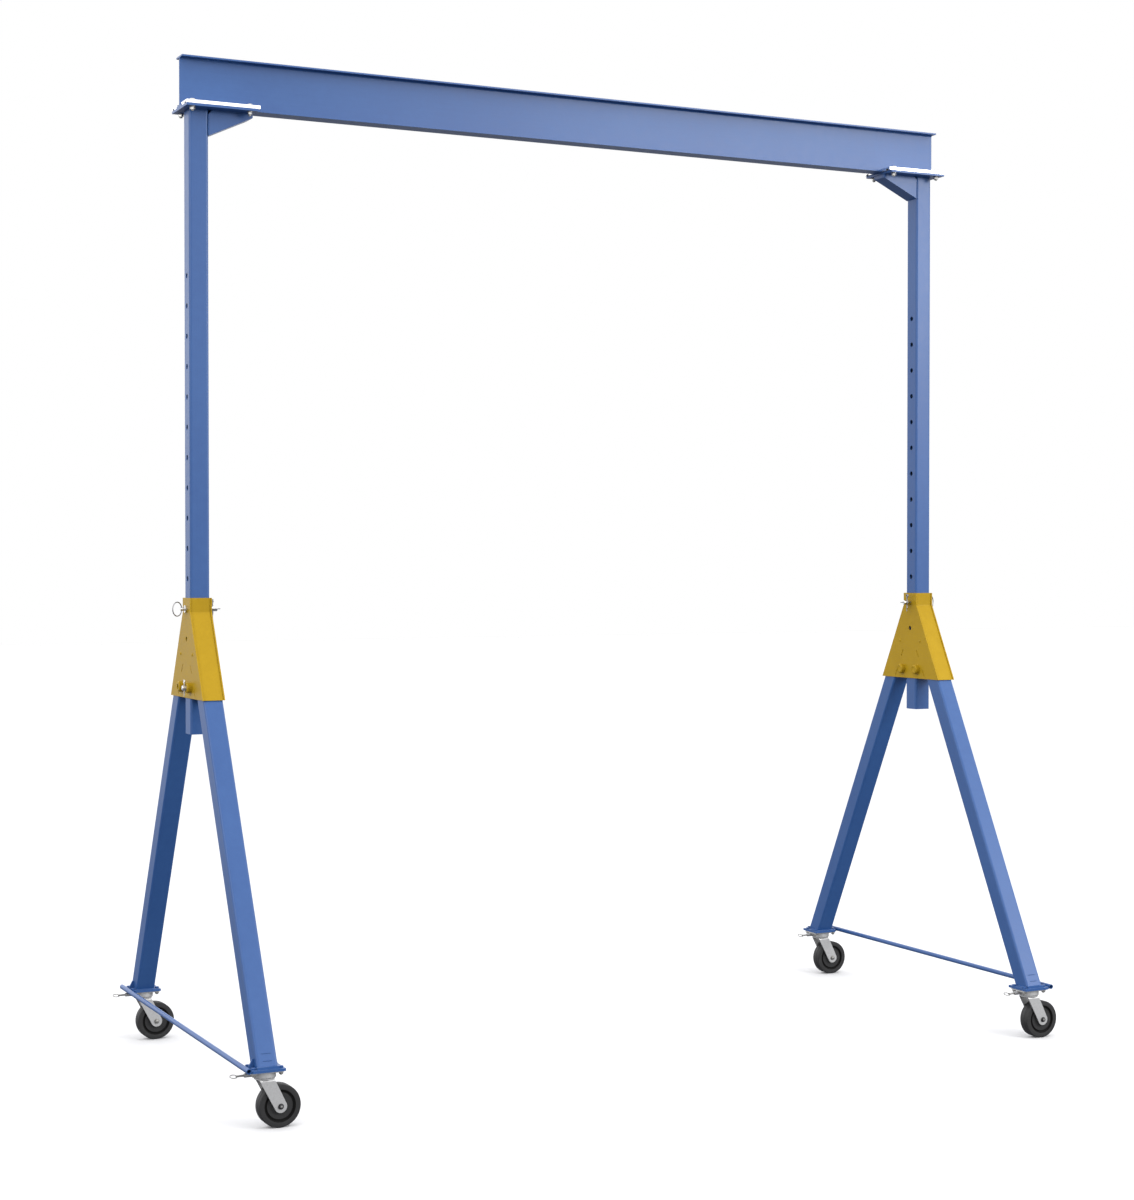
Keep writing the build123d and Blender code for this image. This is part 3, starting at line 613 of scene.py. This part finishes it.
plug_radius = 0.0194
plug_depth = 0.0060
plug = [
    (0, -plug_depth), (plug_radius, -plug_depth), (plug_radius, -0.0012), (plug_radius - 0.0008, 0),
    (0.0150, 0.0004), (0.0132, -0.0014), (0, -0.0018),
]
boss_low, boss_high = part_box("storage_bosses")
boss_radius = 0.0270
boss_reach = 0.0245
boss_y = boss_high.y - boss_radius
plug_places = []
plug_facings = []
for out, side in ((-1, "left"), (1, "right")):
    low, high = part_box(f"head_sides_{side}")
    inner = (low.x if out > 0 else high.x) - out * boss_reach
    for hand in (-1, 1):
        plug_places.append((inner, hand * boss_y, (boss_low.z + boss_high.z) / 2))
        plug_facings.append((-out, 0, 0))
plugs = fastener_mesh(join(lathe(plug, 48)), plug_places, plug_facings, yellow, 2)
piece("boss_plugs", plugs, None, "a_frames", "head_paint")

screw_head = 0.0030
screw_radius = 0.0085
button = [
    (0, -0.0020), (screw_radius, -0.0020), (screw_radius, 0.0006), (0.0078, 0.0016), (0.0062, 0.0025),
    (0.0044, screw_head), (0.0030, screw_head), (0.0026, 0.0012), (0, 0.0009),
]
side_faces = [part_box(f"head_sides_{side}") for side in sides]
screw_y = 0.1015
screw_z = sum(corner.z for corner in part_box("leg_screws")) / 2
screw_places = []
screw_facings = []
for low, high in side_faces:
    for hand in (-1, 1):
        screw_places += [(low.x, hand * screw_y, screw_z), (high.x, hand * screw_y, screw_z)]
        screw_facings += [(-1, 0, 0), (1, 0, 0)]
button_mesh = join(lathe(button, 36))
screws = fastener_mesh(button_mesh, screw_places, screw_facings, yellow, 3)
piece("leg_button_screws", screws, None, "a_frames", "head_paint", "leg_screws")

# ==== POSTS ====
# Square tubes that slide in the heads, with a row of pin holes down two faces.
# The enamel is rubbed through to bare steel round the holes and scratched where the head guides it.

hole_pitch = 0.1524
hole_radius = 0.0135
pin_height = sum(corner.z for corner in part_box("height_pin_right")) / 2
low_hole = pin_height - 2 * hole_pitch
top_hole = pin_height + 11 * hole_pitch
row_fade = (0.02, 0.03)
rub_edge = (hole_radius + 0.0006, hole_radius + 0.0020)
rub_colour = shade(0.07, 0.07, 0.07)
guided = (2.46, 2.62)
long_scratch = (260, 260, 2.5)


def rubbed(paint, colour, gloss):
    """Bare steel round the pin holes, and long scratches under the heads."""
    axes = paint.add("ShaderNodeSeparateXYZ", None, {0: paint.place})
    rise = axes["Z"] - (pin_height - 20 * hole_pitch)
    fall = paint.add("ShaderNodeMath", {"operation": "PINGPONG"}, {0: rise, 1: hole_pitch / 2})[0]
    reach = (axes["Y"] * axes["Y"] + fall * fall) ** 0.5
    ragged = reach + 0.004 * paint.noise(paint.place, 160.0, 3.0)
    bare = 1 - ragged.bound(*rub_edge)
    starts = axes["Z"].bound(low_hole - row_fade[1], low_hole - row_fade[0])
    stops = axes["Z"].bound(top_hole + row_fade[0], top_hole + row_fade[1])
    bare = bare * (starts * (1 - stops))
    long_grain = paint.add("ShaderNodeMapping", None, {"Vector": paint.place, "Scale": long_scratch})
    scratch = paint.noise(long_grain["Vector"], 1.0, 3.0, 0.7).bound(0.66, 0.72)
    below = 1 - axes["Z"].bound(*guided)
    worn = bare + 0.35 * scratch * below
    steel = paint.colour(worn, colour, rub_colour)
    return steel, gloss + 0.08 * scratch, 0.3 * bare


post_blue = enamel("post_enamel", blue_deep, blue_light, upright_grain, extra=rubbed)
finish_node(post_blue, "post_left", "post_right")

# ==== BEAM, TOP PLATES AND KNEE BRACES ====
# A rolled steel beam lies on a thick plate on each post, with a folded brace under the plate.
# All are enamelled blue; the beam keeps a trace of the mill's rolling lines.

beam_blue = enamel("beam_enamel", blue_deep, blue_light, level_grain)
finish_node(beam_blue, "beam")
for side in sides:
    finish_node(beam_blue, f"top_plate_{side}", f"knee_brace_{side}")

brace_bead = 0.0036
seam_stand = 0.0006
nose_margin = 0.012
fold_margin = 0.030
back_share = 0.985
back_margins = (0.006, 0.028)
plate_seam = (0.016, 0.086)
for number, side in enumerate(sides):
    out = 1 if side == "right" else -1
    low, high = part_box(f"knee_brace_{side}")
    inner_x = low.x if side == "right" else high.x
    outer_x = high.x if side == "right" else low.x
    post_low, post_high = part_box(f"post_{side}")
    half = (post_high.y - post_low.y) / 2
    plate_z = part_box(f"top_plate_{side}")[0].z
    runs = []
    for hand in (-1, 1):
        corner_y = hand * (half + seam_stand)
        back_y = corner_y * back_share
        under_plate = (inner_x + out * nose_margin, outer_x - out * fold_margin)
        runs.append([(x, corner_y, plate_z) for x in under_plate])
        runs.append([(outer_x, back_y, z) for z in (low.z + back_margins[0], plate_z - back_margins[1])])
        runs.append([(outer_x + out * reach, corner_y, plate_z) for reach in plate_seam])
    weld_piece(f"brace_weld_{side}", runs, brace_bead, beam_blue, "hoist", "beam_paint", number + 30)

# ==== CLAMPS ====
# Zinc plated bars hold the beam's lower flange down on the plate, with four bolts to a post.
# Each bolt has a washer and a nut under the plate, and a few turns of thread show below.

clamp_zinc = zinc("clamp_zinc", (0.90, 0.90, 0.89), 0.26, 120.0, 0.10)
for side in sides:
    finish_node(clamp_zinc, f"clamp_bars_{side}")

washer_radius = 0.0158
bolt_radius = 0.0079
bolt_flats = 0.0237
washer_thick = 0.0030
nut_thick = 0.0130
head_thick = 0.0100
bolt_end = 0.0060
grip = 0.0287
bolt_thread = 0.0020
head_base = (0.0008, 0.0009)
shank_top = 0.0004
for number, side in enumerate(sides):
    low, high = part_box(f"clamp_bolts_{side}")
    bar_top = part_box(f"clamp_bars_{side}")[1].z
    nut_top = -grip - washer_thick
    pattern = join(
        hexagon(bolt_flats, head_base[0], head_thick, False, True),
        disc(0.46 * bolt_flats, 0, head_base[1]),
        washer_ring(washer_radius, nut_top, -grip),
        hexagon(bolt_flats, nut_top - nut_thick, nut_top),
        threaded(bolt_radius, nut_top - nut_thick - bolt_end, nut_top, bolt_thread),
        disc(bolt_radius, -grip, shank_top),
    )
    places = [(x, y, bar_top) for x in (low.x + washer_radius, high.x - washer_radius)
              for y in (low.y + washer_radius, high.y - washer_radius)]
    bolts = fastener_mesh(pattern, places, [(0, 0, 1)] * 4, bolt_zinc, number + 5)
    piece(f"clamp_bolt_set_{side}", bolts, None, "hoist", "bolt_zinc", f"clamp_bolts_{side}")

# ==== HEIGHT PINS ====
# Turned steel pins through head and post, with a pull ring outside, and a safety ring and a
# sprung wire clip inside. The clips are bent here as they really are, with a waist that grips.

pin_steel = zinc("pin_steel", (0.66, 0.655, 0.64), 0.17, 60.0, 0.20)
ring_steel = zinc("ring_steel", (0.25, 0.25, 0.255), 0.30, 500.0, 0.30)
for side in sides:
    finish_node(pin_steel, f"height_pin_{side}")
    finish_node(ring_steel, f"pin_rings_{side}")


def bent_wire(points, radius):
    """Round wire bent smoothly along points, as a mesh with closed ends."""
    line = bpy.data.curves.new("wire", "CURVE")
    line.dimensions = "3D"
    line.bevel_depth = radius
    line.bevel_resolution = 4
    line.use_fill_caps = True
    spline = line.splines.new("NURBS")
    spline.points.add(len(points) - 1)
    for knot, point in zip(spline.points, points):
        knot.co = (*point, 1.0)
    spline.order_u = 4
    spline.use_endpoint_u = True
    spline.resolution_u = 6
    holder = bpy.data.objects.new("wire", line)
    bpy.context.scene.collection.objects.link(holder)
    mesh = bpy.data.meshes.new_from_object(holder.evaluated_get(bpy.context.evaluated_depsgraph_get()))
    bpy.data.objects.remove(holder)
    smooth(mesh, 50)
    return mesh


clip_wire = 0.0025
clip_eye = 0.00825
clip_rise = 0.0386
clip_fall = 0.0534
pin_radius = 0.0127
grip_radius = pin_radius + clip_wire + 0.0016
wire_gap_share = 2.2
coil_steps = 18
waist = (0.0130, 0.67)
grip_turns = [radians(48 - 16 * step) for step in range(7)]
loose_end = ((0.0105, 0.0215), (0.0135, 0.0280), (0.0170, 0.0330))


def hairpin(x, y, z, out, rise, fall):
    """Sprung wire clip: a straight leg through a pin, a coiled eye on top and a waisted leg round the pin."""
    side_step = wire_gap_share * clip_wire
    path = [(0, 0, -fall + fall * step / 4) for step in range(5)] + [(0, 0, 0.5 * rise)]
    for step in range(coil_steps + 1):
        turn = 3 * pi * step / coil_steps
        run = side_step * step / coil_steps
        path.append((run, clip_eye * (1 - cos(turn)), rise + clip_eye * sin(turn)))
    path.append((side_step, waist[0], waist[1] * rise))
    for turn in grip_turns:
        path.append((side_step, grip_radius * cos(turn), grip_radius * sin(turn)))
    for across, drop in loose_end:
        path.append((side_step, across, -drop))
    bends = [(x - out * run, y - out * across, z + level) for run, across, level in path]
    return bent_wire(bends, clip_wire)


for side in sides:
    out = 1 if side == "right" else -1
    low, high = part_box(f"pin_clip_{side}")
    clip = hairpin((low.x + high.x) / 2, 0, pin_height, out, clip_rise, clip_fall)
    piece(f"hairpin_clip_{side}", clip, ring_steel, f"pin_clip_{side}", "pin_steel", f"pin_clip_{side}")

spare_y = 0.0730
spare_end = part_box("spare_pins")[1].x
spare_z = (boss_low.z + boss_high.z) / 2
spare_rise = 0.0309
spare_fall = 0.0427
spare_clip_inset = 0.0120
spare_start = 2.13485
spare_outline = [
    (0, spare_start), (0.0178, spare_start), (0.0190, spare_start + 0.0012),
    (0.0190, spare_start + 0.0068), (0.0178, spare_start + 0.0080), (pin_radius, spare_start + 0.0080),
    (pin_radius, spare_end - 0.0030), (pin_radius - 0.0026, spare_end - 0.0004), (0.0040, spare_end),
    (0.0028, spare_end - 0.0016), (0, spare_end - 0.0016),
]
stored = bmesh.new()
for out in (-1, 1):
    turned_pin = lathe(spare_outline, 48)
    lay = Matrix.Translation((0, out * spare_y, spare_z)) @ Matrix.Rotation(out * pi / 2, 4, "Y")
    bmesh.ops.transform(turned_pin, matrix=lay, verts=turned_pin.verts)
    stored.from_mesh(join(turned_pin))
    clip_x = out * (spare_end - spare_clip_inset)
    stored.from_mesh(hairpin(clip_x, out * spare_y, spare_z, out, spare_rise, spare_fall))
piece("stored_pins", join(stored), pin_steel, "a_frames", "pin_steel", "spare_pins")

# ==== CASTERS ====
# A pressed mounting plate and ball race, a folded fork on a kingpin, and a moulded phenolic wheel
# on a spacer sleeve and a bolt. The front wheels' axle nuts and washers are darkened as painted shade.
# Four bolts hold each one under its foot.

caster_zinc = zinc("caster_zinc", (0.50, 0.50, 0.495), 0.45, 300.0, 0.25)
dull_zinc = zinc("dull_zinc", (0.30, 0.295, 0.28), 0.36, 240.0, 0.30)
ball_steel = zinc("ball_steel", (0.70, 0.70, 0.70), 0.08, 20.0, 0.0)
for side, end in corners:
    finish_node(caster_zinc, f"caster_plate_{side}_{end}", f"fork_{side}_{end}")
    finish_node(dull_zinc, f"lock_plunger_{side}_{end}")
finish_node(caster_zinc, "lock_tubes")
finish_node(ball_steel, "swivel_balls")

moulded = Finish("phenolic")
flecks = moulded.noise(moulded.place, 700.0, 3.0, 0.7)
patches = moulded.noise(moulded.place, 26.0, 4.0)
resin_dark = shade(0.0055, 0.0055, 0.006)
resin_light = shade(0.017, 0.0168, 0.0165)
scuff_colour = shade(0.036, 0.0355, 0.034)
resin = moulded.colour(flecks.bound(0.35, 0.75), resin_dark, resin_light)
scuffed = moulded.colour(0.3 * patches.bound(0.5, 0.8), resin, scuff_colour)
phenolic = moulded.coat(
    Base_Color=scuffed,
    Roughness=0.50 + 0.16 * patches + 0.08 * flecks,
    Specular_IOR_Level=0.42,
    Normal=moulded.add("ShaderNodeBump", None, {
        "Strength": 0.6, "Distance": 1.0, "Height": 0.00006 * flecks + 0.0001 * patches,
    })["Normal"],
)

# Near-black rough material for the deep groove of each wheel: painted shade in the groove.
groove_shade = Finish("packed_grime")
shade_mottle = groove_shade.noise(groove_shade.place, 240.0, 5.0, 0.7)
groove_painted_shade = groove_shade.coat(
    Base_Color=groove_shade.colour(shade_mottle, shade(0.0020, 0.0020, 0.0022), shade(0.0080, 0.0076, 0.0070)),
    Roughness=0.75 + 0.2 * shade_mottle,
    Specular_IOR_Level=0.2,
    Normal=groove_shade.add("ShaderNodeBump", None, {
        "Strength": 0.6, "Distance": 1.0, "Height": 0.0003 * shade_mottle,
    })["Normal"],
)


def arc(centre_r, centre_h, radius, start, end, steps=6):
    """Points of an arc in an outline, with its turns in degrees."""
    turns = [radians(start + (end - start) * step / steps) for step in range(steps + 1)]
    return [(centre_r + radius * cos(turn), centre_h + radius * sin(turn)) for turn in turns]


wheel_low, wheel_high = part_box("wheel_right_front")
wheel_radius = wheel_high.z / 2
half_wheel = (wheel_high.y - wheel_low.y) / 2
web = half_wheel - 0.0050
floor_of_groove = half_wheel - 0.0120
tread_radius = wheel_radius - 0.0004
face = [(0.01275, half_wheel), *arc(0.0289, half_wheel - 0.0015, 0.0015, 90, 0, 4), (0.0309, web + 0.0012)]
face += [*arc(0.0324, web + 0.0014, 0.0014, 180, 270, 4), (0.0410, web), (0.0416, web - 0.0008)]
face += [(0.0590, web - 0.0008), (0.0596, web), *arc(0.0616, web - 0.0012, 0.0012, 90, 12, 4)]
face += [*arc(0.0656, floor_of_groove + 0.0022, 0.0022, 190, 270, 4)]
face += [*arc(0.0724, floor_of_groove + 0.0022, 0.0022, 270, 350, 4)]
face += [*arc(0.0764, half_wheel - 0.0016, 0.0014, 170, 90, 4), (0.0850, half_wheel - 0.0004)]
face += [*arc(tread_radius - 0.0036, half_wheel - 0.0040, 0.0036, 86, 4, 6)]
face += [(tread_radius, 0.0012), (wheel_radius, 0.0004)]
wheel_outline = face + [(radius, -level) for radius, level in reversed(face)]
groove_reach = (0.0622, 0.0762)
dot_ring = 0.0500
dots = 6
dot_turn = 0.31
dot = [(0, -0.0002), (0.0042, -0.0002), (0.0042, 0.0004), (0.0038, 0.0007), (0, 0.0007)]
for number, (side, end) in enumerate(corners):
    low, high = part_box(f"wheel_{side}_{end}")
    middle = (low + high) / 2
    turned_wheel = lathe(wheel_outline, 112, closed=True)
    stood = Matrix.Translation(middle) @ Matrix.Rotation(pi / 2, 4, "X")
    bmesh.ops.transform(turned_wheel, matrix=stood, verts=turned_wheel.verts)
    marks = []
    facings = []
    for hand in (-1, 1):
        for step in range(dots):
            turn = 2 * pi * (step + dot_turn * number) / dots
            ring_point = Vector((dot_ring * cos(turn), hand * (web - 0.0008), dot_ring * sin(turn)))
            marks.append(middle + ring_point)
            facings.append((0, hand, 0))
    dot_mesh = fastener_mesh(join(lathe(dot, 20)), marks, facings, phenolic)
    turned_wheel.from_mesh(dot_mesh)
    wheel_mesh = join(turned_wheel)
    piece(f"moulded_wheel_{side}_{end}", wheel_mesh, phenolic, f"wheel_{side}_{end}", "phenolic",
          f"wheel_{side}_{end}")
    # The faces in the groove take the near-black material: painted shade.
    wheel_mesh.materials.append(groove_painted_shade)
    for polygon in wheel_mesh.polygons:
        reach = Vector((polygon.center.x - middle.x, polygon.center.z - middle.z)).length
        if groove_reach[0] < reach < groove_reach[1]:
            polygon.material_index = 1

axle_flats = 0.0190
axle_radius = 0.00635
fork_face = 0.04135
axle_washer = fork_face + 0.0020
axle_head = axle_washer + 0.0080
axle_nut = axle_washer + 0.0110
axle_end = fork_face + 0.0180
sleeve_half = 0.03335
base_radius = 0.0088
base_thick = 0.0008
axle_thread = 0.0016
axle_button = [
    (0, axle_head - 0.0006), (0.0056, axle_head - 0.0006), (0.0056, axle_head - 0.0002),
    (0.0050, axle_head), (0, axle_head),
]
axle_collar = [
    (0, -axle_nut), (0.0068, -axle_nut), (0.0080, -axle_nut + 0.0012),
    (0.0080, -axle_nut + 0.0032), (0, -axle_nut + 0.0032),
]
axle_sleeve = [
    (0.0066, -sleeve_half), (0.0127, -sleeve_half), (0.0127, sleeve_half), (0.0066, sleeve_half),
]
# Nearly black steel for the front wheels' axle nuts and washers only: painted shade. The rear ones stay dull
# zinc.
front_shaded_steel = zinc("blackened_steel", (0.060, 0.060, 0.062), 0.36, 240.0, 0.10)
for number, (side, end) in enumerate(corners):
    low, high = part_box(f"wheel_{side}_{end}")
    middle = (low + high) / 2
    dark = join(
        hexagon(axle_flats, axle_washer + 0.0007, axle_head - 0.0004, False, True),
        disc(base_radius, axle_washer, axle_washer + base_thick),
        washer_ring(0.0140, fork_face, axle_washer),
        washer_ring(0.0140, -axle_washer, -fork_face),
        hexagon(axle_flats, -axle_nut + 0.0024, -axle_washer, True, True),
        lathe(axle_collar),
    )
    bright = join(
        lathe(axle_button),
        threaded(axle_radius, -axle_end, -axle_nut + 0.0010, axle_thread),
        disc(axle_radius, -axle_nut, axle_washer),
        lathe(axle_sleeve, closed=True),
    )
    # The front axle hardware is darkened as painted shade.
    coating = front_shaded_steel if end == "front" else dull_zinc
    mesh = fastener_mesh(dark, [middle], [(0, -1, 0)], coating, number + 40)
    piece(f"axle_hexes_{side}_{end}", mesh, None, f"swivel_{side}_{end}", "bolt_zinc", f"axle_{side}_{end}")
    mesh = fastener_mesh(bright, [middle], [(0, -1, 0)], dull_zinc, number + 40)
    piece(f"axle_bolt_{side}_{end}", mesh, None, f"swivel_{side}_{end}", "bolt_zinc")

caster_bolt_half_x = 0.0667
caster_bolt_half_y = 0.04285
caster_flats = 0.0190
caster_grip = foot_top - (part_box("caster_plate_right_front")[1].z - 0.0080)
caster_bolt_radius = 0.0062
caster_thread = 0.0017
caster_nut = 0.0105
caster_end = 0.0140
heads = join(
    hexagon(caster_flats, 0.0007, 0.0080, False, True),
    disc(base_radius, 0, base_thick),
)
nuts = join(
    hexagon(caster_flats, -caster_grip - caster_nut, -caster_grip),
    threaded(caster_bolt_radius, -caster_grip - caster_end, -caster_grip, caster_thread),
    disc(caster_bolt_radius, -caster_grip, shank_top),
)
bolt_places = []
for side, end in corners:
    low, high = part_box(f"caster_plate_{side}_{end}")
    middle = (low + high) / 2
    for hand_x in (-1, 1):
        for hand_y in (-1, 1):
            place = (middle.x + hand_x * caster_bolt_half_x, middle.y + hand_y * caster_bolt_half_y, foot_top)
            bolt_places.append(place)
upward = [(0, 0, 1)] * len(bolt_places)
mesh = fastener_mesh(heads, bolt_places, upward, blue, 50)
piece("caster_bolt_heads", mesh, None, "a_frames", "beam_paint")
mesh = fastener_mesh(nuts, bolt_places, upward, dull_zinc, 50)
piece("caster_bolt_nuts", mesh, None, "a_frames", "bolt_zinc", "caster_bolts")
